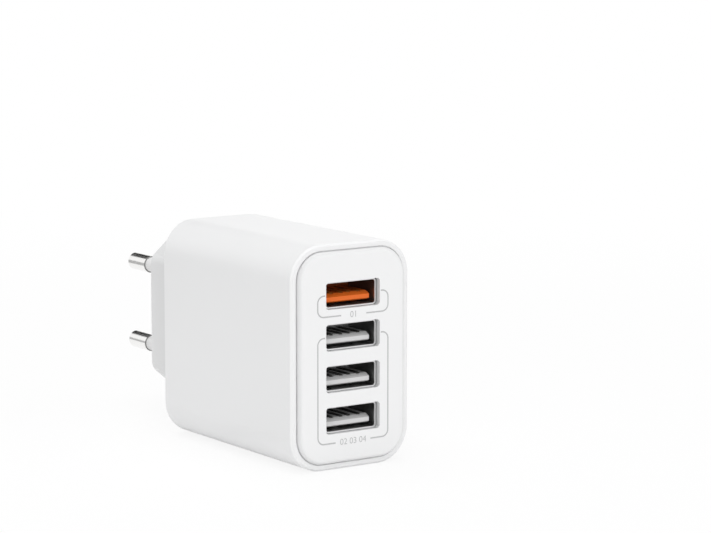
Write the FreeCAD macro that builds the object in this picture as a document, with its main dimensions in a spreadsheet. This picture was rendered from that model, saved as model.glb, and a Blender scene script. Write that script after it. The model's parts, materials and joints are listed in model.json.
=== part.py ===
import FreeCAD, Part
import os
import re
import Sketcher

# Driving dimensions, in millimetres, angles in degrees
sizes = {
    # Housing
    "body_width": 30.4,
    "body_height": 49.0,
    "body_depth": 52.7,
    "body_corner": 7.7,
    "wall": 2.0,
    "rim_width": 1.3,
    "rim_chamfer": 0.4,
    "rear_rim": 0.8,
    "rear_chamfer": 0.3,
    # Front panel
    "seam_gap": 0.25,
    "panel_proud": 1.1,
    "panel_plate": 2.0,
    "panel_seat": 2.4,
    "panel_skirt": 1.2,
    "panel_round": 1.0,
    # Sockets
    "port_pitch": 9.0,
    "shell_width": 13.1,
    "shell_height": 5.72,
    "shell_metal": 0.3,
    "shell_corner": 0.8,
    "shell_length": 14.0,
    "shell_recess": 1.0,
    "spring_width": 1.8,
    "spring_spacing": 5.8,
    "spring_start": 1.6,
    "spring_crest": 3.6,
    "spring_end": 7.0,
    "spring_rise": 0.35,
    "spring_gap": 0.2,
    "window_side_gap": 0.4,
    "window_top_gap": 0.09,
    "window_corner": 0.5,
    "tongue_width": 11.1,
    "tongue_thickness": 1.84,
    "tongue_drop": 2.58,
    "tongue_recess": 1.1,
    "tongue_bevel_length": 1.2,
    "tongue_bevel_height": 0.65,
    "tongue_under_length": 0.5,
    "tongue_under_height": 0.3,
    "insulator_base": 4.0,
    "insulator_clearance": 0.05,
    "contact_width": 1.0,
    "contact_thickness": 0.25,
    "contact_sink": 0.12,
    "contact_setback": 0.2,
    "contact_outer": 3.5,
    "contact_inner": 1.0,
    "contact_clearance": 0.02,
    # Boards and their rails
    "board_thickness": 1.6,
    "port_board_clearance": 0.4,
    "board_gap": 0.2,
    "board_clearance": 0.3,
    "solder_room": 6.2,
    "rail_height": 1.5,
    "rail_thickness": 1.2,
    "rail_clearance": 0.15,
    "tab_clearance": 0.15,
    # Rear cover with the plug block
    "cover_plate": 2.0,
    "cover_gap": 0.12,
    "block_thickness": 12.9,
    "block_margin": 8.0,
    "block_length": 21.2,
    "block_chamfer": 4.5,
    "block_end_flat": 2.6,
    "block_round": 3.2,
    "block_draft": 1.3,
    "block_edge": 0.5,
    "block_wall": 1.8,
    "block_end_wall": 2.5,
    "collar_diameter": 5.0,
    "collar_height": 0.4,
    # Plug pins and sleeves
    "pin_spacing": 19.0,
    "pin_diameter": 4.0,
    "pin_length": 19.0,
    "pin_tip_length": 1.45,
    "pin_tip_inset": 1.2,
    "pin_core": 2.6,
    "pin_clearance": 0.04,
    "sleeve_length": 10.0,
    "sleeve_diameter": 3.4,
    "sleeve_base": 3.8,
    "sleeve_base_length": 3.4,
    "sleeve_taper": 0.6,
    "flange_diameter": 5.4,
    "flange_thickness": 1.6,
    "tail_diameter": 2.2,
    "tail_length": 4.6,
    # Strips from the pins to the main board
    "strip_width": 5.0,
    "strip_thickness": 0.5,
    "strip_offset": 2.9,
    "strip_foot": 1.4,
    "strip_rise": 2.2,
    "eyelet_reach": 2.6,
    # Parts on the boards
    "part_gap": 0.6,
    "part_standoff": 0.1,
    "edge_margin": 0.5,
    "bulk_diameter": 8.0,
    "bulk_length": 16.0,
    "output_diameter": 5.4,
    "output_length": 9.0,
    "can_edge": 0.5,
    "core_length": 11.0,
    "core_width": 17.0,
    "core_thickness": 5.0,
    "core_leg": 4.0,
    "core_outer_leg": 2.6,
    "core_yoke": 2.6,
    "core_height": 7.0,
    "bobbin_wall": 0.8,
    "bobbin_clearance": 0.1,
    "winding_build": 2.7,
    "choke_diameter": 6.4,
    "choke_height": 9.0,
    "choke_waist": 3.2,
    "choke_flange": 1.2,
    "choke_inset": 0.5,
    "fuse_length": 5.4,
    "fuse_width": 4.0,
    "fuse_height": 7.6,
    "fuse_round": 0.6,
    "bridge_length": 6.2,
    "bridge_width": 5.0,
    "bridge_height": 3.4,
    "bridge_chamfer": 0.8,
    "disc_diameter": 7.5,
    "disc_thickness": 3.2,
    "chip_length": 6.0,
    "chip_width": 5.0,
    "chip_height": 1.2,
    "chip_chamfer": 0.3,
    "row_offset": 6.2,
}
port_count = 4

# Places shared by several pieces, measured from the housing's front rim and middle
rim_y = "(panel_proud - body_depth - block_length - collar_height - pin_length) / 2"
mid_z = "body_height / 2"
panel_front = "-panel_proud"
panel_width = "(body_width - 2 * rim_width - 2 * seam_gap)"
panel_height = "(body_height - 2 * rim_width - 2 * seam_gap)"
panel_corner = "(body_corner - rim_width - seam_gap)"
inner_width = "(body_width - 2 * wall)"
inner_height = "(body_height - 2 * wall)"
inner_corner = "(body_corner - wall)"
shell_front = "(shell_recess - panel_proud)"
shell_back = "(shell_recess - panel_proud + shell_length)"
bore_width = "(shell_width - 2 * shell_metal)"
bore_height = "(shell_height - 2 * shell_metal)"
bore_corner = "(shell_corner - shell_metal)"
tongue_top = "(shell_height / 2 - shell_metal - tongue_drop)"
tongue_front = f"({shell_front} + tongue_recess)"
bevel_end = f"({tongue_front} + tongue_bevel_length)"
port_board_back = f"({shell_back} + board_thickness)"
board_front = f"({port_board_back} + board_gap)"
board_rear = "(body_depth - cover_plate - board_clearance)"
board_left = "(wall + solder_room - body_width / 2)"
board_face = f"({board_left} + board_thickness)"
board_half = "(body_height / 2 - wall - board_clearance)"
part_edge = f"({inner_height} / 2 - rail_height - edge_margin)"
tab_middle = "port_pitch"
tab_width = "(port_pitch - shell_height - 2 * tab_clearance)"
cover_front = "(body_depth - cover_plate)"
block_end = "(body_depth + block_length)"
block_height = "(pin_spacing + 2 * block_margin)"
end_wall_inside = f"({block_end} - block_end_wall)"
pin_root = f"({block_end} + collar_height)"
sleeve_bore = "(sleeve_base + 2 * pin_clearance)"
strip_foot_end = f"({board_rear} - strip_rise)"
strip_foot_start = f"({strip_foot_end} - strip_foot)"
eyelet_y = f"({end_wall_inside} - flange_thickness - tail_length / 2)"
front_row = f"({board_front} + edge_margin + output_diameter / 2)"
transformer_y = f"({board_front} + edge_margin + output_diameter + part_gap + core_length / 2)"
rear_row = f"({strip_foot_start} - part_gap - choke_diameter / 2)"

doc = FreeCAD.newDocument("usb_charger")
sheet = doc.addObject("Spreadsheet::Sheet", "Sizes")
for row, (alias, size) in enumerate(sizes.items(), start=1):
    sheet.set(f"A{row}", alias.replace("_", " "))
    sheet.set(f"B{row}", str(size))
    sheet.setAlias(f"B{row}", alias)
doc.recompute()
subparts = []


def cells(expression):
    # Point each alias in an expression at its cell of the sheet
    return re.sub(r"[a-z_]+", lambda word: f"Sizes.{word[0]}" if word[0] in sizes else word[0], expression)


def number(expression):
    return float(sheet.evalExpression(cells(expression)))


def bind(item, name, expression):
    item.setExpression(name, cells(expression))


def new_body(label, x="0", y="0", z="0"):
    # A sub-part placed from the rim's plane, the mid-width and the mid-height
    body = doc.addObject("PartDesign::Body", label)
    body.Label = label
    body.AllowCompound = True
    bind(body, "Placement.Base.x", x)
    bind(body, "Placement.Base.y", f"{rim_y} + {y}")
    bind(body, "Placement.Base.z", f"{mid_z} + {z}")
    subparts.append(body)
    return body


def new_sketch(body, name, role, offset="0"):
    # Offset is along +Y for XZ_Plane, +X for YZ_Plane and +Z for XY_Plane
    sketch = body.newObject("Sketcher::SketchObject", f"{body.Label}_{name}")
    plane = [feature for feature in body.Origin.OriginFeatures if feature.Role == role][0]
    sketch.AttachmentSupport = [(plane, "")]
    sketch.MapMode = "FlatFace"
    sign = "-" if role == "XZ_Plane" else ""
    bind(sketch, "AttachmentOffset.Base.z", f"{sign}({offset})")
    return sketch


def fix_point(sketch, geometry, point, x, y):
    for kind, axis, place in (("DistanceX", -2, x), ("DistanceY", -1, y)):
        if place == "0":
            sketch.addConstraint(Sketcher.Constraint("PointOnObject", geometry, point, axis))
        else:
            rule = Sketcher.Constraint(kind, -1, 1, geometry, point, number(place))
            bind(sketch, f"Constraints[{sketch.addConstraint(rule)}]", place)


def polygon(sketch, corners, closed=True):
    first = sketch.GeometryCount
    points = [FreeCAD.Vector(number(x), number(y), 0) for x, y in corners]
    count = len(points)
    lines = count if closed else count - 1
    for index in range(lines):
        sketch.addGeometry(Part.LineSegment(points[index], points[(index + 1) % count]))
    for index in range(lines):
        if closed or index + 1 < lines:
            following = first + (index + 1) % lines
            sketch.addConstraint(Sketcher.Constraint("Coincident", first + index, 2, following, 1))
        fix_point(sketch, first + index, 1, *corners[index])
    if not closed:
        fix_point(sketch, first + lines - 1, 2, *corners[-1])


def rectangle(sketch, width, height, x="0", y="0"):
    left, right = f"({x}) - ({width}) / 2", f"({x}) + ({width}) / 2"
    low, high = f"({y}) - ({height}) / 2", f"({y}) + ({height}) / 2"
    polygon(sketch, [(left, low), (right, low), (right, high), (left, high)])


def rounded_rectangle(sketch, width, height, corner, x="0", y="0"):
    first = sketch.GeometryCount
    half_w, half_h, radius = number(width) / 2, number(height) / 2, number(corner)
    middle = FreeCAD.Vector(number(x), number(y), 0)
    flat_w, flat_h = half_w - radius, half_h - radius
    runs = [((-flat_w, -half_h), (flat_w, -half_h)), ((half_w, -flat_h), (half_w, flat_h)),
            ((flat_w, half_h), (-flat_w, half_h)), ((-half_w, flat_h), (-half_w, -flat_h))]
    centres = [(flat_w, -flat_h), (flat_w, flat_h), (-flat_w, flat_h), (-flat_w, -flat_h)]
    axis, quarter = FreeCAD.Vector(0, 0, 1), 1.5707963267948966
    for side in range(4):
        start, end = (middle + FreeCAD.Vector(*point, 0) for point in runs[side])
        sketch.addGeometry(Part.LineSegment(start, end))
    for side in range(4):
        circle = Part.Circle(middle + FreeCAD.Vector(*centres[side], 0), axis, radius)
        sketch.addGeometry(Part.ArcOfCircle(circle, (side - 1) * quarter, side * quarter))
    bottom, right, top, left = range(first, first + 4)
    arcs = range(first + 4, first + 8)
    for side in range(4):
        sketch.addConstraint(Sketcher.Constraint("Tangent", first + side, 2, arcs[side], 1))
        sketch.addConstraint(Sketcher.Constraint("Tangent", arcs[side], 2, first + (side + 1) % 4, 1))
    for side in (bottom, top):
        sketch.addConstraint(Sketcher.Constraint("Horizontal", side))
    for side in (left, right):
        sketch.addConstraint(Sketcher.Constraint("Vertical", side))
    for arc in arcs[1:]:
        sketch.addConstraint(Sketcher.Constraint("Equal", arcs[0], arc))
    left_x, low_y = f"({x}) - ({width}) / 2", f"({y}) - ({height}) / 2"
    for rule, expression in (
            (Sketcher.Constraint("Radius", arcs[0], radius), corner),
            (Sketcher.Constraint("DistanceX", left, 1, right, 1, 2 * half_w), width),
            (Sketcher.Constraint("DistanceY", bottom, 1, top, 1, 2 * half_h), height),
            (Sketcher.Constraint("DistanceX", -1, 1, left, 1, number(left_x)), left_x),
            (Sketcher.Constraint("DistanceY", -1, 1, bottom, 1, number(low_y)), low_y)):
        bind(sketch, f"Constraints[{sketch.addConstraint(rule)}]", expression)


def eight_sides(sketch, width, height, end_flat, chamfer, y="0"):
    # A rectangle with slanting corners: two tall flats and two end flats stay
    wide, narrow = f"({width}) / 2", f"({end_flat}) / 2"
    low, high = f"({y}) - ({height}) / 2", f"({y}) + ({height}) / 2"
    flat_low, flat_high = f"{low} + ({chamfer})", f"{high} - ({chamfer})"
    polygon(sketch, [(f"-{narrow}", low), (narrow, low), (wide, flat_low), (wide, flat_high),
                     (narrow, high), (f"-{narrow}", high), (f"-{wide}", flat_high), (f"-{wide}", flat_low)])


def circle(sketch, diameter, x="0", y="0"):
    middle = FreeCAD.Vector(number(x), number(y), 0)
    index = sketch.addGeometry(Part.Circle(middle, FreeCAD.Vector(0, 0, 1), number(diameter) / 2))
    fix_point(sketch, index, 3, x, y)
    rule = Sketcher.Constraint("Diameter", index, number(diameter))
    bind(sketch, f"Constraints[{sketch.addConstraint(rule)}]", diameter)


def pad(body, sketch, length, reverse=False):
    # A pad of an XZ_Plane sketch runs towards -Y, and towards +Y in reverse
    feature = body.newObject("PartDesign::Pad", f"{sketch.Name}_pad")
    feature.Profile = sketch
    feature.Reversed = reverse
    bind(feature, "Length", length)
    doc.recompute()
    return feature


def pocket(body, sketch, length, reverse=False):
    # A pocket of an XZ_Plane sketch cuts towards +Y, and towards -Y in reverse
    before = body.Tip.Shape.Volume
    feature = body.newObject("PartDesign::Pocket", f"{sketch.Name}_pocket")
    feature.Profile = sketch
    feature.Reversed = reverse
    bind(feature, "Length", length)
    doc.recompute()
    if feature.Shape.Volume > before - 1e-6:
        raise RuntimeError(f"{feature.Name} cuts nothing")
    return feature


def revolve(body, sketch):
    feature = body.newObject("PartDesign::Revolution", f"{sketch.Name}_turn")
    feature.Profile = sketch
    feature.ReferenceAxis = (sketch, ["V_Axis"])
    feature.Angle = 360
    doc.recompute()
    return feature


def dress(body, kind, name, amount, chosen):
    # Round or chamfer the edges of the present shape that the test chosen picks
    base = body.Tip
    names = [f"Edge{index}" for index, edge in enumerate(base.Shape.Edges, start=1) if chosen(edge)]
    feature = body.newObject(f"PartDesign::{kind}", f"{body.Label}_{name}")
    feature.Base = (base, names)
    bind(feature, "Radius" if kind == "Fillet" else "Size", amount)
    doc.recompute()
    return feature


def lies_at(axis, place):
    # Test for edges that lie wholly in a plane across an axis
    value = number(place)

    def test(edge):
        box = edge.BoundBox
        low, high = getattr(box, f"{axis}Min"), getattr(box, f"{axis}Max")
        return abs(low - value) < 1e-4 and abs(high - value) < 1e-4
    return test


def make_housing():
    body = new_body("housing")
    sketch = new_sketch(body, "outline", "XZ_Plane")
    rounded_rectangle(sketch, "body_width", "body_height", "body_corner")
    pad(body, sketch, "body_depth", reverse=True)
    dress(body, "Chamfer", "front_edge", "rim_chamfer", lies_at("Y", "0"))
    dress(body, "Chamfer", "rear_edge", "rear_chamfer", lies_at("Y", "body_depth"))
    sketch = new_sketch(body, "inside", "XZ_Plane")
    rounded_rectangle(sketch, inner_width, inner_height, inner_corner)
    pocket(body, sketch, "body_depth")
    sketch = new_sketch(body, "panel_rebate", "XZ_Plane")
    rounded_rectangle(sketch, "body_width - 2 * rim_width", "body_height - 2 * rim_width",
                      "body_corner - rim_width")
    pocket(body, sketch, "panel_seat")
    sketch = new_sketch(body, "cover_rebate", "XZ_Plane", cover_front)
    rounded_rectangle(sketch, "body_width - 2 * rear_rim", "body_height - 2 * rear_rim",
                      "body_corner - rear_rim")
    pocket(body, sketch, "cover_plate")
    # Rails that hold the main board's two long edges, rooted in the wall
    sketch = new_sketch(body, "rails", "XZ_Plane", port_board_back)
    root = "wall / 2"
    for side in ("-", ""):
        for x in (f"{board_left} - rail_clearance - rail_thickness / 2",
                  f"{board_face} + rail_clearance + rail_thickness / 2"):
            height = f"(rail_height + {root})"
            rectangle(sketch, "rail_thickness", height, x,
                      f"{side}({inner_height} / 2 + {root} - {height} / 2)")
    pad(body, sketch, f"{cover_front} - {port_board_back}", reverse=True)


def make_front_panel():
    body = new_body("front_panel")
    sketch = new_sketch(body, "outline", "XZ_Plane", panel_front)
    rounded_rectangle(sketch, panel_width, panel_height, panel_corner)
    pad(body, sketch, "panel_proud + panel_seat", reverse=True)
    dress(body, "Fillet", "front_round", "panel_round", lies_at("Y", panel_front))
    sketch = new_sketch(body, "back", "XZ_Plane", f"{panel_front} + panel_plate")
    rounded_rectangle(sketch, f"{panel_width} - 2 * panel_skirt", f"{panel_height} - 2 * panel_skirt",
                      f"{panel_corner} - panel_skirt")
    pocket(body, sketch, "panel_proud + panel_seat - panel_plate")
    sketch = new_sketch(body, "window", "XZ_Plane", panel_front)
    window_width = "(shell_width + 2 * window_side_gap)"
    eight_sides(sketch, window_width, "shell_height + 2 * window_top_gap",
                f"{window_width} - 2 * window_corner", "window_corner", f"{port_count - 1} * port_pitch / 2")
    window = pocket(body, sketch, "panel_plate")
    windows = body.newObject("PartDesign::LinearPattern", "front_panel_windows")
    windows.Originals = [window]
    windows.Direction = (sketch, ["V_Axis"])
    windows.Reversed = True
    windows.Occurrences = port_count
    bind(windows, "Length", f"{port_count - 1} * port_pitch")
    body.Tip = windows
    doc.recompute()


def make_rear_cover():
    body = new_body("rear_cover")
    sketch = new_sketch(body, "plate", "XZ_Plane", cover_front)
    trim = "2 * (rear_rim + cover_gap)"
    rounded_rectangle(sketch, f"body_width - {trim}", f"body_height - {trim}",
                      "body_corner - rear_rim - cover_gap")
    pad(body, sketch, "cover_plate", reverse=True)
    # Plug block, drawn at its pin end and widening towards the plate
    sketch = new_sketch(body, "block", "XZ_Plane", block_end)
    eight_sides(sketch, "block_thickness", block_height, "block_end_flat", "block_chamfer")
    block = pad(body, sketch, "block_length")
    bind(block, "TaperAngle", "block_draft")
    doc.recompute()
    most = 0.9 * number("block_length")
    dress(body, "Fillet", "block_round", "block_round", lambda edge: edge.BoundBox.YLength > most)
    dress(body, "Chamfer", "block_edge", "block_edge", lies_at("Y", block_end))
    sketch = new_sketch(body, "hollow", "XZ_Plane", cover_front)
    eight_sides(sketch, "block_thickness - 2 * block_wall", f"{block_height} - 2 * block_wall",
                "block_end_flat - 0.75 * block_wall", "block_chamfer - 0.55 * block_wall")
    pocket(body, sketch, f"{end_wall_inside} - {cover_front}")
    # Collars and holes for the two pins
    sketch = new_sketch(body, "collars", "XZ_Plane", pin_root)
    for side in ("-", ""):
        circle(sketch, "collar_diameter", "0", f"{side}pin_spacing / 2")
    pad(body, sketch, "collar_height + block_end_wall / 2")
    sketch = new_sketch(body, "pin_holes", "XZ_Plane", end_wall_inside)
    for side in ("-", ""):
        circle(sketch, sleeve_bore, "0", f"{side}pin_spacing / 2")
    pocket(body, sketch, "block_end_wall + collar_height")


def make_pin(name, side):
    # Turned pin: tapered contact end, core inside the sleeve, flange behind the end wall, tail
    body = new_body(f"pin_{name}", z=f"{side}pin_spacing / 2")
    sketch = new_sketch(body, "profile", "XY_Plane")
    tip = f"({pin_root} + pin_length)"
    step = f"({pin_root} + sleeve_length)"
    flange = f"({end_wall_inside} - flange_thickness)"
    tail = f"({flange} - tail_length)"
    polygon(sketch, [("0", tail), ("tail_diameter / 2", tail), ("tail_diameter / 2", flange),
                     ("flange_diameter / 2", flange), ("flange_diameter / 2", end_wall_inside),
                     ("pin_core / 2", end_wall_inside), ("pin_core / 2", step),
                     ("pin_diameter / 2", step), ("pin_diameter / 2", f"{tip} - pin_tip_length"),
                     ("pin_diameter / 2 - pin_tip_inset", tip), ("0", tip)])
    revolve(body, sketch)


def make_pin_sleeve(name, side):
    # Sleeve from the end wall to the contact end, thicker near its root
    body = new_body(f"pin_sleeve_{name}", z=f"{side}pin_spacing / 2")
    sketch = new_sketch(body, "profile", "XY_Plane")
    end = f"({pin_root} + sleeve_length)"
    neck = f"({pin_root} + sleeve_base_length)"
    bore = "pin_core / 2"
    polygon(sketch, [(bore, end_wall_inside), ("sleeve_base / 2", end_wall_inside),
                     ("sleeve_base / 2", neck), ("sleeve_diameter / 2", f"{neck} + sleeve_taper"),
                     ("sleeve_diameter / 2", end), (bore, end)])
    revolve(body, sketch)


def make_pin_contact(name, side):
    # Bent strip with a foot on the main board and an eyelet over the pin's tail
    body = new_body(f"pin_contact_{name}", z=f"{side}pin_spacing / 2")
    half = "strip_thickness / 2"
    on_board = f"({board_face} + {half})"
    path = new_sketch(body, "path", "XY_Plane")
    polygon(path, [(on_board, strip_foot_start), (on_board, strip_foot_end), ("-strip_offset", board_rear),
                   ("-strip_offset", eyelet_y), ("eyelet_reach", eyelet_y)], closed=False)
    section = new_sketch(body, "section", "XZ_Plane", strip_foot_start)
    rectangle(section, "strip_thickness", "strip_width", on_board)
    strip = body.newObject("PartDesign::AdditivePipe", f"{body.Label}_strip")
    strip.Profile = section
    strip.Spine = path
    strip.Transition = "Right corner"
    doc.recompute()
    hole = new_sketch(body, "eyelet", "XZ_Plane", f"{eyelet_y} - strip_thickness")
    circle(hole, "tail_diameter + 2 * pin_clearance")
    pocket(body, hole, "2 * strip_thickness")


def make_socket(index):
    middle = f"({port_count - 1} / 2 - {index - 1}) * port_pitch"
    make_usb_shell(index, middle)
    make_usb_tongue(index, middle)
    make_usb_contacts(index, middle)


def make_usb_shell(index, middle):
    body = new_body(f"usb_shell_{index}", z=middle)
    sketch = new_sketch(body, "section", "XZ_Plane", shell_front)
    rounded_rectangle(sketch, "shell_width", "shell_height", "shell_corner")
    rounded_rectangle(sketch, bore_width, bore_height, bore_corner)
    pad(body, sketch, "shell_length", reverse=True)
    # Two springs in the top wall and two in the bottom wall, cut free and bent into the opening
    start, crest, end = (f"({shell_front} + spring_{place})" for place in ("start", "crest", "end"))
    sketch = new_sketch(body, "spring_slots", "XY_Plane", "shell_height")
    for side in ("-", ""):
        rectangle(sketch, "spring_width + 2 * spring_gap", f"{end} - {start} + spring_gap",
                  f"{side}spring_spacing / 2", f"({start} + {end} - spring_gap) / 2")
    pocket(body, sketch, "2 * shell_height")
    outside, inside = "shell_height / 2", f"({bore_height} / 2)"
    for name, side in (("left", "-"), ("right", "")):
        sketch = new_sketch(body, f"{name}_springs", "YZ_Plane", f"{side}spring_spacing / 2 - spring_width / 2")
        for wall in ("-", ""):
            polygon(sketch, [(start, f"{wall}{outside}"), (crest, f"{wall}({outside} - spring_rise)"),
                             (end, f"{wall}{outside}"), (end, f"{wall}{inside}"),
                             (crest, f"{wall}({inside} - spring_rise)"), (start, f"{wall}{inside}")])
        pad(body, sketch, "spring_width")


def contact_slots(sketch, width, height, middle):
    for place in ("-contact_outer", "-contact_inner", "contact_inner", "contact_outer"):
        rectangle(sketch, width, height, place, middle)


def make_usb_tongue(index, middle):
    # Base that closes the shell's back, and the tongue below the middle of the opening
    body = new_body(f"usb_tongue_{index}", z=middle)
    sketch = new_sketch(body, "base", "XZ_Plane", f"{shell_back} - insulator_base")
    base_width = f"({bore_width} - 2 * insulator_clearance)"
    eight_sides(sketch, base_width, f"{bore_height} - 2 * insulator_clearance",
                f"{base_width} - 2 * {bore_corner}", bore_corner)
    pad(body, sketch, "insulator_base", reverse=True)
    # Side view of the tongue, its front end bevelled above and below
    sketch = new_sketch(body, "tongue", "YZ_Plane", "-tongue_width / 2")
    root, under = f"({shell_back} - insulator_base / 2)", f"({tongue_top} - tongue_thickness)"
    polygon(sketch, [(f"{tongue_front} + tongue_under_length", under), (root, under), (root, tongue_top),
                     (bevel_end, tongue_top), (tongue_front, f"{tongue_top} - tongue_bevel_height"),
                     (tongue_front, f"{under} + tongue_under_height")])
    pad(body, sketch, "tongue_width")
    sketch = new_sketch(body, "slots", "XZ_Plane", tongue_front)
    contact_slots(sketch, "contact_width + 2 * contact_clearance",
                  "contact_thickness + 2 * contact_clearance",
                  f"{tongue_top} - contact_sink + contact_thickness / 2")
    pocket(body, sketch, f"{shell_back} - {tongue_front}")


def make_usb_contacts(index, middle):
    body = new_body(f"usb_contacts_{index}", z=middle)
    sketch = new_sketch(body, "strips", "XZ_Plane", f"{bevel_end} + contact_setback")
    contact_slots(sketch, "contact_width", "contact_thickness",
                  f"{tongue_top} - contact_sink + contact_thickness / 2")
    pad(body, sketch, f"{shell_back} - {bevel_end} - contact_setback", reverse=True)


def make_port_board():
    # Board behind the sockets, with slots for the main board's tabs
    body = new_body("port_board")
    sketch = new_sketch(body, "outline", "XZ_Plane", shell_back)
    rounded_rectangle(sketch, f"{inner_width} - 2 * port_board_clearance",
                      f"{inner_height} - 2 * port_board_clearance", f"{inner_corner} - port_board_clearance")
    pad(body, sketch, "board_thickness", reverse=True)
    sketch = new_sketch(body, "slots", "XZ_Plane", shell_back)
    for side in ("-", ""):
        rectangle(sketch, "board_thickness + 2 * tab_clearance", f"{tab_width} + 2 * tab_clearance",
                  f"({board_left} + {board_face}) / 2", f"{side}{tab_middle}")
    pocket(body, sketch, "board_thickness")


def make_main_board():
    # Power board across the depth of the housing, with two tabs into the port board
    body = new_body("main_board")
    sketch = new_sketch(body, "outline", "YZ_Plane", board_left)
    tab_low, tab_high = f"({tab_middle} - {tab_width} / 2)", f"({tab_middle} + {tab_width} / 2)"
    half = board_half
    polygon(sketch, [(board_front, f"-{half}"), (board_rear, f"-{half}"), (board_rear, half),
                     (board_front, half),
                     (board_front, tab_high), (shell_back, tab_high), (shell_back, tab_low),
                     (board_front, tab_low),
                     (board_front, f"-{tab_low}"), (shell_back, f"-{tab_low}"),
                     (shell_back, f"-{tab_high}"), (board_front, f"-{tab_high}")])
    pad(body, sketch, "board_thickness")


def on_board(label, along, across, rise="0"):
    # A part on the main board's face, placed along the depth and across the height
    return new_body(label, x=f"{board_face} + {rise}", y=along, z=across)


def make_transformer():
    window_length = "(core_length - 2 * core_yoke)"
    window_width = "((core_width - core_leg - 2 * core_outer_leg) / 2)"
    window_middle = f"(core_leg / 2 + {window_width} / 2)"
    body = on_board("transformer_core", transformer_y, "0")
    sketch = new_sketch(body, "frame", "YZ_Plane", "core_height - core_thickness / 2")
    rectangle(sketch, "core_length", "core_width")
    for side in ("-", ""):
        rectangle(sketch, window_length, window_width, "0", f"{side}{window_middle}")
    pad(body, sketch, "core_thickness")

    # Bobbin: tube on the middle leg, two flanges in the windows, two feet below the yokes
    body = on_board("transformer_bobbin", transformer_y, "0")
    bore_x, bore_z = "(core_thickness + 2 * bobbin_clearance)", "(core_leg + 2 * bobbin_clearance)"
    tube_x, tube_z = f"({bore_x} + 2 * bobbin_wall)", f"({bore_z} + 2 * bobbin_wall)"
    flange_z = f"(core_leg + 2 * ({window_width} - bobbin_clearance))"
    flange_x = f"({tube_x} + 2 * winding_build)"
    tube_length = f"({window_length} - 2 * bobbin_clearance)"
    sketch = new_sketch(body, "tube", "XZ_Plane", f"-{tube_length} / 2")
    rectangle(sketch, tube_x, tube_z, "core_height")
    pad(body, sketch, tube_length, reverse=True)
    for side, start in (("front", f"-{tube_length} / 2"), ("rear", f"{tube_length} / 2 - bobbin_wall")):
        sketch = new_sketch(body, f"{side}_flange", "XZ_Plane", start)
        rectangle(sketch, flange_x, flange_z, "core_height")
        pad(body, sketch, "bobbin_wall", reverse=True)
    foot_height = "(core_height - core_thickness / 2 - bobbin_clearance)"
    foot_length = f"((core_length - {tube_length}) / 2 + bobbin_wall)"
    for side, start in (("front", "-core_length / 2"), ("rear", f"core_length / 2 - {foot_length}")):
        sketch = new_sketch(body, f"{side}_foot", "XZ_Plane", start)
        rectangle(sketch, foot_height, flange_z, f"{foot_height} / 2")
        pad(body, sketch, foot_length, reverse=True)
    sketch = new_sketch(body, "bore", "XZ_Plane", f"-{tube_length} / 2")
    rectangle(sketch, bore_x, bore_z, "core_height")
    pocket(body, sketch, tube_length)

    body = on_board("transformer_winding", transformer_y, "0")
    wound_length = f"({tube_length} - 2 * bobbin_wall)"
    sketch = new_sketch(body, "turns", "XZ_Plane", f"-{wound_length} / 2")
    rounded_rectangle(sketch, f"{tube_x} + 2 * winding_build", f"{tube_z} + 2 * winding_build",
                      "winding_build", "core_height")
    rectangle(sketch, tube_x, tube_z, "core_height")
    pad(body, sketch, wound_length, reverse=True)


def make_can(body, diameter, length):
    # Aluminium can with an edge at its top, axis along the body's Y
    sketch = new_sketch(body, "profile", "XY_Plane")
    side = f"{diameter} / 2"
    polygon(sketch, [("0", "0"), (side, "0"), (side, f"{length} - can_edge"), (f"{side} - can_edge", length),
                     ("0", length)])
    revolve(body, sketch)


def make_capacitors():
    upright = FreeCAD.Rotation(FreeCAD.Vector(0, 0, 1), -90)
    bulk_start = f"({strip_foot_start} - part_gap - bulk_length)"
    for index, side in ((1, ""), (2, "-")):
        place = f"{side}({part_edge} - bulk_diameter / 2)"
        body = on_board(f"bulk_capacitor_{index}", bulk_start, place, "bulk_diameter / 2 + part_standoff")
        make_can(body, "bulk_diameter", "bulk_length")
        place = f"{side}({part_edge} - output_diameter / 2)"
        body = on_board(f"output_capacitor_{index}", front_row, place)
        body.Placement.Rotation = upright
        make_can(body, "output_diameter", "output_length")
    body = on_board("safety_capacitor", front_row, "row_offset / 2", "disc_diameter / 2 + part_standoff")
    sketch = new_sketch(body, "disc", "XZ_Plane", "-disc_thickness / 2")
    circle(sketch, "disc_diameter")
    pad(body, sketch, "disc_thickness", reverse=True)


def make_choke():
    # Drum core with its winding, standing on the board
    upright = FreeCAD.Rotation(FreeCAD.Vector(0, 0, 1), -90)
    wide, waist, top = "choke_diameter / 2", "choke_waist / 2", "choke_height - choke_flange"
    body = on_board("choke_core", rear_row, "row_offset")
    body.Placement.Rotation = upright
    sketch = new_sketch(body, "drum", "XY_Plane")
    polygon(sketch, [("0", "0"), (wide, "0"), (wide, "choke_flange"), (waist, "choke_flange"), (waist, top),
                     (wide, top), (wide, "choke_height"), ("0", "choke_height")])
    revolve(body, sketch)
    body = on_board("choke_winding", rear_row, "row_offset")
    body.Placement.Rotation = upright
    sketch = new_sketch(body, "turns", "XY_Plane")
    outside = f"{wide} - choke_inset"
    polygon(sketch, [(waist, "choke_flange"), (outside, "choke_flange"), (outside, top), (waist, top)])
    revolve(body, sketch)


def make_block(body, length, width, height, reverse=False):
    sketch = new_sketch(body, "outline", "YZ_Plane")
    rectangle(sketch, length, width)
    pad(body, sketch, height, reverse)


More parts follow.
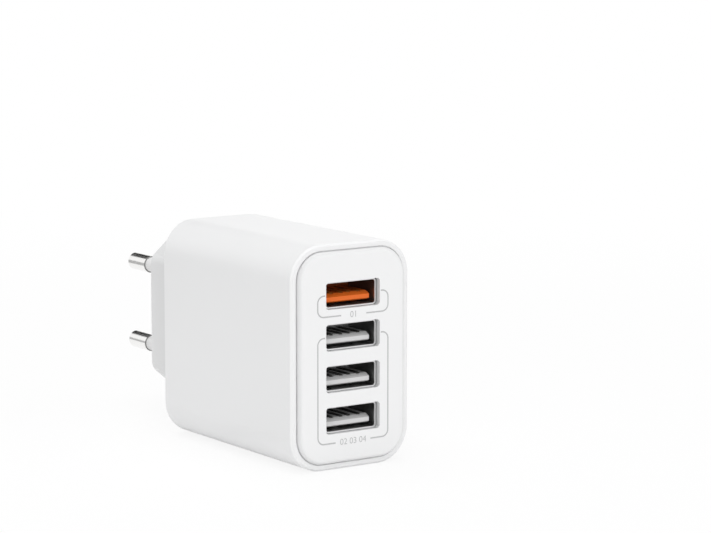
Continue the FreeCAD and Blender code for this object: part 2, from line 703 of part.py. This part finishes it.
def make_board_parts():
    body = on_board("fuse", rear_row, "0")
    make_block(body, "fuse_length", "fuse_width", "fuse_height")
    dress(body, "Fillet", "edges", "fuse_round", lies_at("X", "fuse_height"))
    body = on_board("bridge_rectifier", rear_row, "-row_offset")
    make_block(body, "bridge_length", "bridge_width", "bridge_height")
    dress(body, "Chamfer", "edges", "bridge_chamfer", lies_at("X", "bridge_height"))
    # Chips on the solder side of the main board and on the back of the port board
    for label, along in (("controller_chip", rear_row), ("rectifier_chip", front_row)):
        body = new_body(label, x=board_left, y=along)
        make_block(body, "chip_length", "chip_width", "chip_height", reverse=True)
        dress(body, "Chamfer", "edges", "chip_chamfer", lies_at("X", "-chip_height"))
    for name, side in (("upper", ""), ("lower", "-")):
        body = new_body(f"port_chip_{name}", y=port_board_back,
                        z=f"{side}({part_edge} - output_diameter - part_gap - chip_length / 2)")
        sketch = new_sketch(body, "outline", "XZ_Plane")
        rectangle(sketch, "chip_width", "chip_length")
        pad(body, sketch, "chip_height", reverse=True)
        dress(body, "Chamfer", "edges", "chip_chamfer", lies_at("Y", "chip_height"))


make_housing()
make_front_panel()
make_rear_cover()
for pin_name, pin_side in (("upper", ""), ("lower", "-")):
    make_pin(pin_name, pin_side)
    make_pin_sleeve(pin_name, pin_side)
    make_pin_contact(pin_name, pin_side)
for port in range(1, port_count + 1):
    make_socket(port)
make_port_board()
make_main_board()
make_transformer()
make_capacitors()
make_choke()
make_board_parts()
doc.recompute()

for item in doc.Objects:
    if "Invalid" in item.State or "Error" in item.State:
        raise RuntimeError(f"{item.Label} failed: {item.State}")
for piece in subparts:
    if piece.Shape.isNull() or not piece.Shape.isValid():
        raise RuntimeError(f"{piece.Label} has no valid shape")

os.makedirs("parts", exist_ok=True)
for piece in subparts:
    piece.Shape.exportStep(os.path.join("parts", f"{piece.Label}.step"))
    print(f"{piece.Label}: {len(piece.Shape.Solids)} solids, {piece.Shape.Volume:.1f} mm3")
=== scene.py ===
import json
import math

import bmesh
import bpy
from mathutils import Matrix, Vector


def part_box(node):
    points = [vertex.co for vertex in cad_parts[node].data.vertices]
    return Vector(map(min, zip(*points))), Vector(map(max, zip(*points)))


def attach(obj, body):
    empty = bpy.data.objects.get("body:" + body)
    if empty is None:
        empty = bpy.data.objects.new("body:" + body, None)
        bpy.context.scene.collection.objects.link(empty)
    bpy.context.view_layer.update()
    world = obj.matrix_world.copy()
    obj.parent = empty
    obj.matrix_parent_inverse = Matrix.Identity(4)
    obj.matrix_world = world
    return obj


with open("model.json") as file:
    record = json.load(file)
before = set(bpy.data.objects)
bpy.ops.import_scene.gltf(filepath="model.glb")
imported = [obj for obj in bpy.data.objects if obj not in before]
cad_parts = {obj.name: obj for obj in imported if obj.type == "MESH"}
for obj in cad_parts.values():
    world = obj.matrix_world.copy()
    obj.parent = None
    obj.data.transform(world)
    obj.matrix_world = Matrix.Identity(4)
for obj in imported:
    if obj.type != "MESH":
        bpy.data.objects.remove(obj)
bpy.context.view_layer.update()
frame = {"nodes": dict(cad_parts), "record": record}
nodes = frame["nodes"]
scene = bpy.context.scene
millimetre = 0.001
print("frame loaded:", len(nodes), "nodes")


class Wire:  # a socket that takes part in expressions like a number
    def __init__(self, tree, socket=None):
        self.tree = tree
        self.socket = socket

    def node(self, kind, settings=None, inputs=None, output=0):
        made = self.tree.nodes.new("ShaderNode" + kind)
        for name, value in (settings or {}).items():
            if name == "stops":
                self.fillRamp(made.color_ramp, value)
            else:
                setattr(made, name, value)
        for name, value in (inputs or {}).items():
            if isinstance(value, Wire):
                self.tree.links.new(value.socket, made.inputs[name])
            else:
                made.inputs[name].default_value = value
        return Wire(self.tree, made.outputs[output] if made.outputs else None)

    def fillRamp(self, ramp, stops):
        while len(ramp.elements) < len(stops):
            ramp.elements.new(0.5)
        for element, (place, grey) in zip(ramp.elements, stops):
            element.position = place
            element.color = (grey, grey, grey, 1)

    def maths(self, operation, first, second):
        return self.node("Math", {"operation": operation}, {0: first, 1: second})

    def __add__(self, other):
        return self.maths("ADD", self, other)

    def __radd__(self, other):
        return self.maths("ADD", other, self)

    def __sub__(self, other):
        return self.maths("SUBTRACT", self, other)

    def __rsub__(self, other):
        return self.maths("SUBTRACT", other, self)

    def __mul__(self, other):
        return self.maths("MULTIPLY", self, other)

    def __rmul__(self, other):
        return self.maths("MULTIPLY", other, self)


def newMaterial(name):
    material = bpy.data.materials.new(name)
    material.use_nodes = True
    tree = material.node_tree
    tree.nodes.clear()
    return material, Wire(tree)


def finishMaterial(wire, inputs):
    shader = wire.node("BsdfPrincipled", None, inputs)
    wire.node("OutputMaterial", None, {"Surface": shader})


def objectPlace(wire, stretch=(1, 1, 1)):
    place = wire.node("TexCoord", None, None, "Object")
    if stretch == (1, 1, 1):
        return place
    return wire.node("Mapping", None, {"Vector": place, "Scale": stretch})


def noise(wire, place, scale, detail):
    return wire.node("TexNoise", None, {"Vector": place, "Scale": scale, "Detail": detail})


def bump(wire, height, strength, distance):
    return wire.node("Bump", None, {"Height": height, "Strength": strength, "Distance": distance})


mixSocket = {"factor": 0, "first": 6, "second": 7, "result": 2}  # those that a Mix node has for colours


def mixColour(wire, factor, first, second):
    inputs = {mixSocket["factor"]: factor, mixSocket["first"]: first, mixSocket["second"]: second}
    return wire.node("Mix", {"data_type": "RGBA"}, inputs, mixSocket["result"])


def shade(colour, amount):
    return tuple(channel * amount for channel in colour) + (1,)


fadedShare = 0.02  # of the colour, where a fade reaches 0
noiseMiddle = 0.5  # the value that a noise texture varies about


# Painted shade: where little light comes back, as inside the sockets, a colour is painted darker with
# the depth behind its front
def paintShadeByDepth(wire, colour, look):
    if "fade" not in look:
        return colour
    depth = wire.node("SeparateXYZ", None, {0: objectPlace(wire)}, "Y")
    depth = wire.node("MapRange", None, {"Value": depth, "From Min": look["front"],
                                         "From Max": look["front"] + look["depth"] * millimetre})
    share = wire.node("ValToRGB", {"stops": look["fade"]}, {0: depth})
    return mixColour(wire, share, shade(look["colour"], fadedShare), colour)


# Moulded plastics: fine spark-eroded grain, faint cloudiness, uneven gloss, and painted shade with
# depth where a look sets a fade
def plastic(name, look):
    material, wire = newMaterial(name)
    place = objectPlace(wire)
    cloud = noise(wire, place, look["cloudScale"], look["cloudDetail"])
    grain = noise(wire, place, look["grainScale"], look["grainDetail"])
    pale = shade(look["colour"], 1)
    dull = shade(look["colour"], 1 - look["cloud"])
    colour = paintShadeByDepth(wire, mixColour(wire, cloud, dull, pale), look)
    rough = look["rough"] + look["roughSpread"] * (cloud + grain - 2 * noiseMiddle)
    finishMaterial(wire, {
        "Base Color": colour, "Roughness": rough, "IOR": look["ior"],
        "Specular IOR Level": look["gloss"],
        "Normal": bump(wire, grain, look["grain"], look["grainDepth"])})
    return material


# Metals: a brushed or drawn grain along one direction, with a cloudy tarnish, and painted shade with
# depth where a look sets a fade
def metal(name, look):
    material, wire = newMaterial(name)
    place = objectPlace(wire)
    drawn = noise(wire, objectPlace(wire, look["stretch"]), look["lineScale"], look["lineDetail"])
    cloud = noise(wire, place, look["cloudScale"], look["cloudDetail"])
    bright = shade(look["colour"], 1)
    tarnished = shade(look["colour"], 1 - look["tarnish"])
    colour = paintShadeByDepth(wire, mixColour(wire, cloud, tarnished, bright), look)
    rough = look["rough"] + look["roughSpread"] * (drawn + cloud - 2 * noiseMiddle)
    finishMaterial(wire, {
        "Base Color": colour, "Metallic": 1.0, "Roughness": rough,
        "Normal": bump(wire, drawn, look["line"], look["lineDepth"])})
    return material


whitePlastic = {"colour": (0.86, 0.862, 0.866), "cloud": 0.012, "cloudScale": 60, "cloudDetail": 3.0,
                "grain": 0.12, "grainScale": 5200, "grainDetail": 2.0, "grainDepth": 0.03 * millimetre,
                "rough": 0.42, "roughSpread": 0.08, "gloss": 0.5, "ior": 1.5}
drawnMetal = {"colour": (0.62, 0.62, 0.63), "tarnish": 0.12, "cloudScale": 300, "cloudDetail": 3.0,
              "stretch": (1, 0.06, 1), "line": 0.15, "lineScale": 9000, "lineDetail": 3.0,
              "lineDepth": 0.02 * millimetre, "rough": 0.28, "roughSpread": 0.1}
# Painted shade, darker with the depth: from a front, a place on Y in metres, over a depth in mm, in
# shares of the colour
# Painted shade: the sockets' tongues are painted darker with depth behind their front face
tonguePaintedShade = {"front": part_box("usb_tongue_1")[0].y, "depth": 6.0, "gloss": 0.3,
              "fade": [(0.0, 1.0), (0.1, 0.88), (0.3, 0.75), (1.0, 0.7)]}
# Painted shade: the contacts are painted near black all along their length
contactPaintedShade = {"front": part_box("usb_contacts_1")[0].y, "depth": 4.7,
               "fade": [(0.0, 0.07), (1.0, 0.06)]}
# Painted shade: the socket shells are painted dark behind their bright front edge
shellPaintedShade = {"front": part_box("usb_shell_1")[0].y, "depth": 5.0,
             "fade": [(0.0, 1.0), (0.03, 0.7), (0.1, 0.35), (1.0, 0.35)]}
# Painted shade: a dark ring is painted on the pins where they leave the sleeves
shoulderPaintedShade = {"front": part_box("pin_sleeve_upper")[1].y, "depth": 0.08,
                "fade": [(0.0, 0.35), (0.3, 0.4), (1.0, 1.0)]}
# Painted shade: the plug block is painted darker toward its foot on the rear cover, and a little darker
# all along
coverPaintedShade = {"front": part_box("housing")[1].y, "depth": 21.4,
             "fade": [(0.0, 1.0), (0.015, 0.75), (0.4, 0.85), (1.0, 0.92)]}
# Painted shade: the panel is painted a little darker behind its face, on its rounded edge and the
# window walls
panelPaintedShade = {"front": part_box("front_panel")[0].y, "depth": 1.0, "gloss": 0.25,
             "fade": [(0.0, 1.0), (0.25, 0.9), (1.0, 0.88)]}
finishes = {
    "housing_white": plastic("housingWhite", whitePlastic),
    "panel_white": plastic("panelWhite", {**whitePlastic, **panelPaintedShade, "rough": 0.45, "grain": 0.06}),
    "sleeve_white": plastic("sleeveWhite", {**whitePlastic, "colour": (0.8, 0.8, 0.8), "rough": 0.5}),
    # Painted shade: the orange tongue is painted darker still deep in its socket
    "tongue_orange": plastic("tongueOrange", {
        **whitePlastic, **tonguePaintedShade, "colour": (0.88, 0.17, 0.018), "cloud": 0.08, "rough": 0.45,
        "fade": [(0.0, 1.0), (0.05, 0.95), (0.3, 0.8), (0.8, 0.75), (1.0, 0.4)]}),
    "tongue_grey": plastic("tongueGrey", {**whitePlastic, **tonguePaintedShade, "cloud": 0.04,
                                          "colour": (0.735, 0.735, 0.735)}),
    "bobbin_black": plastic("bobbinBlack", {**whitePlastic, "colour": (0.02, 0.02, 0.022),
                                            "cloud": 0.2}),
    "chip_black": plastic("chipBlack", {**whitePlastic, "colour": (0.028, 0.028, 0.03), "cloud": 0.25,
                                        "rough": 0.55, "grain": 0.3}),
    "fuse_brown": plastic("fuseBrown", {**whitePlastic, "colour": (0.16, 0.07, 0.035), "cloud": 0.2}),
    "disc_blue": plastic("discBlue", {**whitePlastic, "colour": (0.06, 0.16, 0.45), "cloud": 0.25,
                                      "cloudScale": 500, "rough": 0.3}),
    "tape_yellow": plastic("tapeYellow", {**whitePlastic, "colour": (0.8, 0.55, 0.08), "cloud": 0.2,
                                          "cloudScale": 700, "rough": 0.25}),
    "ferrite": plastic("ferrite", {**whitePlastic, "colour": (0.05, 0.048, 0.047), "cloud": 0.4,
                                   "cloudScale": 2500, "rough": 0.6, "grain": 0.5}),
    "board_green": plastic("boardGreen", {**whitePlastic, "colour": (0.015, 0.13, 0.05), "cloud": 0.45,
                                          "cloudScale": 900, "rough": 0.3}),
    "pin_nickel": metal("pinNickel", {**drawnMetal, **shoulderPaintedShade, "colour": (0.92, 0.915, 0.905),
                                      "tarnish": 0.03, "stretch": (0.05, 1, 0.05), "rough": 0.17,
                                      "roughSpread": 0.05, "line": 0.08}),
    "socket_steel": metal("socketSteel", {**drawnMetal, **shellPaintedShade, "colour": (0.78, 0.78, 0.785),
                                          "line": 0.05, "rough": 0.4}),
    "strip_brass": metal("stripBrass", {**drawnMetal, "colour": (0.72, 0.5, 0.22)}),
    "contact_nickel": metal("contactNickel", {**drawnMetal, **contactPaintedShade, "colour": (0.6, 0.59, 0.57),
                                              "rough": 0.5}),
    "wire_copper": metal("wireCopper", {**drawnMetal, "colour": (0.7, 0.32, 0.17),
                                        "stretch": (0.05, 1, 0.05), "line": 0.6}),
    "can_aluminium": metal("canAluminium", {**drawnMetal, "colour": (0.75, 0.75, 0.76), "rough": 0.35}),
}
nodeFinishes = {  # for nodes that look unlike the rest of their slot
    "rear_cover": plastic("coverWhite", {**whitePlastic, **coverPaintedShade}),
    # Painted reflection: the first port's contacts carry the orange of the tongue they mirror, with
    # painted shade on their front ends
    "usb_contacts_1": metal("contactPaintedOrangeReflection", {
        **drawnMetal, **contactPaintedShade, "colour": (0.8, 0.26, 0.05), "rough": 0.5,
        "fade": [(0.0, 0.25), (0.02, 0.25), (0.06, 0.9), (1.0, 1.0)]}),
}
for row in frame["record"]["subparts"]:
    slots = nodes[row["node"]].data.materials
    slots.clear()
    slots.append(nodeFinishes.get(row["node"], finishes[row["material_slot"]]))
print("finishes on the CAD nodes:", len(finishes))


# Printed brackets and port numbers on the panel's face
panelLow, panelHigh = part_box("front_panel")
printed = {
    "face": panelLow.y, "middleZ": (panelLow.z + panelHigh.z) / 2,
    "width": 0.3 * millimetre, "proud": 0.015 * millimetre, "sunk": 0.05 * millimetre,
    "corner": 1.5 * millimetre, "cornerSteps": 8, "letterSteps": 6,
    "capShare": 0.7,  # of the type's size, for the height of a number
    "colour": (0.5, 0.5, 0.505), "wornShade": 0.94, "fullShade": 1.04,
    "wearScale": 3000, "wearDetail": 3.0, "rough": 0.45, "roughSpread": 0.1,
    "brackets": {  # side distance, arm ends, arm height, foot height and the gap in the foot, in mm
        "bracketUpper": {"side": 9.08, "armEnd": 7.2, "armZ": 13.65, "footZ": 9.08, "gap": (-3.1, 3.4)},
        "bracketLower": {"side": 9.08, "armEnd": 7.2, "armZ": 4.55, "footZ": -18.44,
                         "gap": (-4.55, 4.5)},
    },
    "numbers": {  # text, height and place, in mm
        "portNumberUpper": {"text": "01", "height": 1.35, "place": (0.15, 9.08)},
        "portNumberLower": {"text": "02 03 04", "height": 1.35, "place": (0.0, -18.44)},
    },
}
mergeDistance = 0.0001 * millimetre
upright = Matrix.Rotation(math.pi / 2, 3, "X")  # turns a flat shape to face the front


def printInk(name, look):
    material, wire = newMaterial(name)
    wear = noise(wire, objectPlace(wire), look["wearScale"], look["wearDetail"])
    worn = shade(look["colour"], look["wornShade"])
    full = shade(look["colour"], look["fullShade"])
    rough = look["rough"] + look["roughSpread"] * wear
    finishMaterial(wire, {"Base Color": mixColour(wire, wear, worn, full), "Roughness": rough})
    return material


def meshPiece(name, shape, material):
    mesh = bpy.data.meshes.new(name)
    shape.to_mesh(mesh)
    shape.free()
    mesh.materials.append(material)
    piece = bpy.data.objects.new(name, mesh)
    scene.collection.objects.link(piece)
    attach(piece, "root")


def moveMade(shape, made, move):
    verts = [item for item in made if isinstance(item, bmesh.types.BMVert)]
    bmesh.ops.translate(shape, verts=verts, vec=move)


def extrudeRun(shape, edges, move):
    made = bmesh.ops.extrude_edge_only(shape, edges=edges)["geom"]
    moveMade(shape, made, move)
    return [item for item in made if isinstance(item, bmesh.types.BMEdge)
            and all(vert in made for vert in item.verts)]


def turnCorner(shape, edges, centre, angle):
    made = bmesh.ops.spin(shape, geom=edges, cent=centre, axis=(0, 1, 0), angle=angle,
                          steps=printed["cornerSteps"], use_merge=False)["geom_last"]
    return [item for item in made if isinstance(item, bmesh.types.BMEdge)]


def bracketHalf(shape, side, bracket, gapEnd):
    # From the arm's free end round two corners to the gap in the foot, on the side -1 or 1
    half, corner = printed["width"] / 2, printed["corner"]
    x = bracket["side"] * millimetre
    start = bracket["armEnd"] * millimetre
    armZ, footZ = bracket["armZ"] * millimetre, bracket["footZ"] * millimetre
    ends = [shape.verts.new((side * start, 0, armZ + offset)) for offset in (-half, half)]
    run = [shape.edges.new(ends)]
    run = extrudeRun(shape, run, (side * (x - corner - start), 0, 0))
    run = turnCorner(shape, run, (side * (x - corner), 0, armZ - corner), side * math.pi / 2)
    run = extrudeRun(shape, run, (0, 0, footZ - armZ + 2 * corner))
    run = turnCorner(shape, run, (side * (x - corner), 0, footZ + corner), side * math.pi / 2)
    extrudeRun(shape, run, (gapEnd * millimetre - side * (x - corner), 0, 0))


def thicken(shape, front, deep):
    # Give a flat shape its thickness, from its front backwards, and set it at the panel's middle
    made = bmesh.ops.extrude_face_region(shape, geom=shape.faces[:])["geom"]
    moveMade(shape, made, (0, deep, 0))
    bmesh.ops.remove_doubles(shape, verts=shape.verts[:], dist=mergeDistance)
    bmesh.ops.recalc_face_normals(shape, faces=shape.faces[:])
    bmesh.ops.translate(shape, verts=shape.verts[:], vec=(0, front, printed["middleZ"]))


def thickenPrint(shape):
    # From just proud of the face to just under it
    thicken(shape, printed["face"] - printed["proud"], printed["proud"] + printed["sunk"])


ink = printInk("printGrey", printed)
for name, bracket in printed["brackets"].items():
    shape = bmesh.new()
    for side, gapEnd in zip((-1, 1), bracket["gap"]):
        bracketHalf(shape, side, bracket, gapEnd)
    bmesh.ops.remove_doubles(shape, verts=shape.verts[:], dist=mergeDistance)
    thickenPrint(shape)
    meshPiece(name, shape, ink)

for name, number in printed["numbers"].items():
    lettering = bpy.data.curves.new(name + "Lettering", "FONT")
    lettering.body = number["text"]
    lettering.size = number["height"] * millimetre / printed["capShare"]
    lettering.align_x = "CENTER"
    lettering.align_y = "CENTER"
    lettering.resolution_u = printed["letterSteps"]
    holder = bpy.data.objects.new(name + "Lettering", lettering)
    scene.collection.objects.link(holder)
    bpy.context.view_layer.update()
    flat = bpy.data.meshes.new_from_object(holder)
    bpy.data.objects.remove(holder)
    shape = bmesh.new()
    shape.from_mesh(flat)
    bmesh.ops.rotate(shape, verts=shape.verts[:], matrix=upright)
    x, z = number["place"]
    bmesh.ops.translate(shape, verts=shape.verts[:], vec=(x * millimetre, 0, z * millimetre))
    thickenPrint(shape)
    meshPiece(name, shape, ink)
print("print on the panel: brackets and numbers")


# Lip of the housing that closes the seam round the panel, a little below the rim
seamLip = {"gap": 0.25 * millimetre, "corner": 6.4 * millimetre, "cornerSteps": 12,
           "depth": 0.4 * millimetre, "thickness": 1.6 * millimetre}
lipSize = panelHigh - panelLow + 2 * seamLip["gap"] * Vector((1, 1, 1))
shape = bmesh.new()
bmesh.ops.create_grid(shape, x_segments=1, y_segments=1, size=0.5)
bmesh.ops.scale(shape, verts=shape.verts[:], vec=(lipSize.x, lipSize.z, 1))
bmesh.ops.rotate(shape, verts=shape.verts[:], matrix=upright)
bmesh.ops.bevel(shape, geom=shape.verts[:], offset=seamLip["corner"], segments=seamLip["cornerSteps"],
                profile=0.5, affect="VERTICES", material=-1)
middle = shape.faces[:]
bmesh.ops.inset_region(shape, faces=middle, thickness=seamLip["gap"], use_even_offset=True,
                       use_boundary=True)
bmesh.ops.delete(shape, geom=middle, context="FACES")
thicken(shape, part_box("housing")[0].y + seamLip["depth"], seamLip["thickness"])
meshPiece("seamLip", shape, finishes["housing_white"])
print("lip in the panel's seam")


# Floor, light and camera
studio = {"floorSize": 6.0, "floorWhite": 0.95, "shadowShare": 0.14, "shadowReach": (0.1, 0.4),
          "fill": 0.48, "target": Vector((0, 0, 0.025)),
          "lamps": {
              "topLamp": {"place": (-0.1, 0.1, 1.1), "size": 1.0, "power": 5.5},
              "leftLamp": {"place": (-0.8, -0.9, 0.45), "size": 1.4, "power": 5.0},
              "frontLamp": {"place": (0.5, -1.0, 0.5), "size": 1.2, "power": 3.1},
          },
          "cards": {  # ends on X, then the places on Y and Z of the lower and the upper edge
              "darkCard": {"x": (-0.1, 0.32), "low": (0.6, 0.19), "high": (0.6, 0.42), "grey": 0.005},
              "frontCard": {"x": (-0.22, 0.22), "low": (-0.6, 0.3), "high": (-0.6, 0.75),
                            "grey": 0.005},
              "lowCard": {"x": (-0.7, 0.0), "low": (0.15, 0.001), "high": (0.5, 0.08), "grey": 0.48},
          }}
view = {"place": (-0.33113, -0.53251, 0.13059), "down": 8.394, "yaw": 34.355,  # degrees
        "lens": 141.1, "sensor": 36.0, "nearest": 0.01}


def seenDirect(wire):
    # 1 for what the camera sees, also in a mirror or through glass
    path = wire.node("LightPath")
    tree = wire.tree
    rays = path.socket.node.outputs
    seen = Wire(tree, rays["Is Camera Ray"]) + Wire(tree, rays["Is Glossy Ray"])
    seen = seen + Wire(tree, rays["Is Transmission Ray"])
    return wire.node("Clamp", None, {"Value": seen})


def makeFloor():
    shape = bmesh.new()
    bmesh.ops.create_grid(shape, x_segments=1, y_segments=1, size=studio["floorSize"] / 2)
    mesh = bpy.data.meshes.new("floor")
    shape.to_mesh(mesh)
    shape.free()
    floor = bpy.data.objects.new("floor", mesh)
    scene.collection.objects.link(floor)
    material, wire = newMaterial("floorWhite")
    grey = studio["floorWhite"]
    lit = wire.node("BsdfDiffuse", None, {"Color": (grey, grey, grey, 1)})
    plain = wire.node("Emission", None, {"Color": (1, 1, 1, 1), "Strength": 1.0})
    # The shadow shows near the object, and the rest of the floor is plain white
    away = wire.node("VectorMath", {"operation": "LENGTH"}, {0: objectPlace(wire)}, "Value")
    near, far = studio["shadowReach"]
    fade = wire.node("MapRange", {"interpolation_type": "SMOOTHSTEP"},
                     {"Value": away, "From Min": near, "From Max": far, "To Min": 1.0, "To Max": 0.0})
    share = seenDirect(wire) * (1 - studio["shadowShare"] * fade)
    mixed = wire.node("MixShader", None, {0: share, 1: lit, 2: plain})
    wire.node("OutputMaterial", None, {"Surface": mixed})
    mesh.materials.append(material)


def makeCard(name, card):
    # Stands out of the picture, so that bright metal has something dark to mirror
    shape = bmesh.new()
    left, right = card["x"]
    corners = [shape.verts.new((left, *card["low"])), shape.verts.new((right, *card["low"])),
               shape.verts.new((right, *card["high"])), shape.verts.new((left, *card["high"]))]
    shape.faces.new(corners)
    mesh = bpy.data.meshes.new(name)
    shape.to_mesh(mesh)
    shape.free()
    material, wire = newMaterial(name)
    grey = card["grey"]
    dull = wire.node("BsdfDiffuse", None, {"Color": (grey, grey, grey, 1)})
    wire.node("OutputMaterial", None, {"Surface": dull})
    mesh.materials.append(material)
    piece = bpy.data.objects.new(name, mesh)
    piece.visible_camera = False
    piece.visible_diffuse = False
    piece.visible_shadow = False
    scene.collection.objects.link(piece)


def makeWorld():
    world = bpy.data.worlds.new("studio")
    world.use_nodes = True
    world.node_tree.nodes.clear()
    wire = Wire(world.node_tree)
    strength = studio["fill"] + (1 - studio["fill"]) * seenDirect(wire)
    plain = wire.node("Background", None, {"Color": (1, 1, 1, 1), "Strength": strength})
    wire.node("OutputWorld", None, {"Surface": plain})
    scene.world = world


def makeLamp(name, lamp):
    light = bpy.data.lights.new(name, "AREA")
    light.shape = "DISK"
    light.size = lamp["size"]
    light.energy = lamp["power"]
    holder = bpy.data.objects.new(name, light)
    holder.location = lamp["place"]
    aim = studio["target"] - Vector(lamp["place"])
    holder.rotation_euler = aim.to_track_quat("-Z", "Y").to_euler()
    scene.collection.objects.link(holder)


def makeCamera():
    lens = bpy.data.cameras.new("camera")
    lens.sensor_fit = "HORIZONTAL"
    lens.sensor_width = view["sensor"]
    lens.lens = view["lens"]
    lens.clip_start = view["nearest"]
    camera = bpy.data.objects.new("camera", lens)
    camera.location = view["place"]
    camera.rotation_euler = (math.radians(90 - view["down"]), 0, -math.radians(view["yaw"]))
    scene.collection.objects.link(camera)
    scene.camera = camera


makeFloor()
for name, card in studio["cards"].items():
    makeCard(name, card)
makeWorld()
for name, lamp in studio["lamps"].items():
    makeLamp(name, lamp)
makeCamera()
scene.view_settings.view_transform = "Standard"
print("studio and camera ready")
